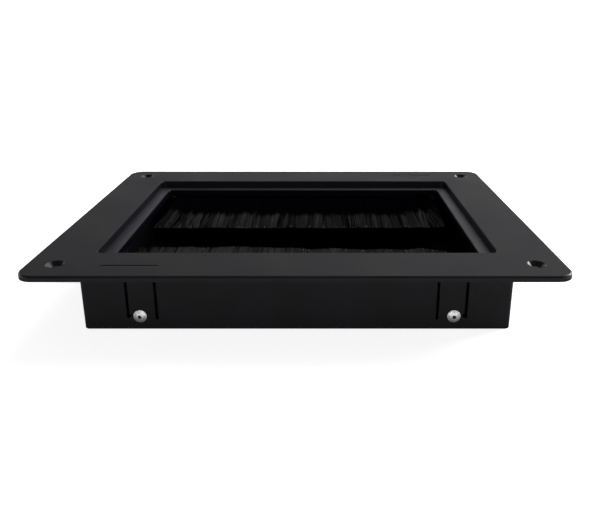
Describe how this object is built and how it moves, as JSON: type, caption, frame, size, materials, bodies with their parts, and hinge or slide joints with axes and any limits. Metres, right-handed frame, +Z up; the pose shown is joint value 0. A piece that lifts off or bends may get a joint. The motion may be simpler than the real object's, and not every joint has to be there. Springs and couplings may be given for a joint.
{
  "type": "cable grommet",
  "caption": "Rectangular flanged cable grommet whose sunken mouth is closed by two rows of bristles, one above the other.",
  "frame": {"origin": "centre of the four screw holes, in the plane of the flange's underside, where it lies on the panel", "axes": "+X along the flange's long side and along both brushes, +Z up out of the panel, the front (lower brush) faces -Y"},
  "size_m": [0.2516, 0.185, 0.0375],
  "materials": {
    "black_plastic": "fine matt grain",
    "black_aluminium": "black, matt",
    "channel_steel": "zinc plated",
    "core_wire_steel": "drawn wire",
    "black_bristle": "fine straight filaments",
    "rivet_aluminium": "plain, slightly worn",
    "mandrel_steel": "plain"
  },
  "bodies": {
    "root": {"frame": "black_plastic", "front_brush_holder": "black_aluminium", "rear_brush_holder": "black_aluminium", "front_strip_channel": "channel_steel", "rear_strip_channel": "channel_steel", "front_core_wire": "core_wire_steel", "rear_core_wire": "core_wire_steel", "front_bristles": "black_bristle", "rear_bristles": "black_bristle", "front_left_rivet": "rivet_aluminium", "front_right_rivet": "rivet_aluminium", "rear_left_rivet": "rivet_aluminium", "rear_right_rivet": "rivet_aluminium", "front_left_mandrel": "mandrel_steel", "front_right_mandrel": "mandrel_steel", "rear_left_mandrel": "mandrel_steel", "rear_right_mandrel": "mandrel_steel"}
  },
  "joints": []
}
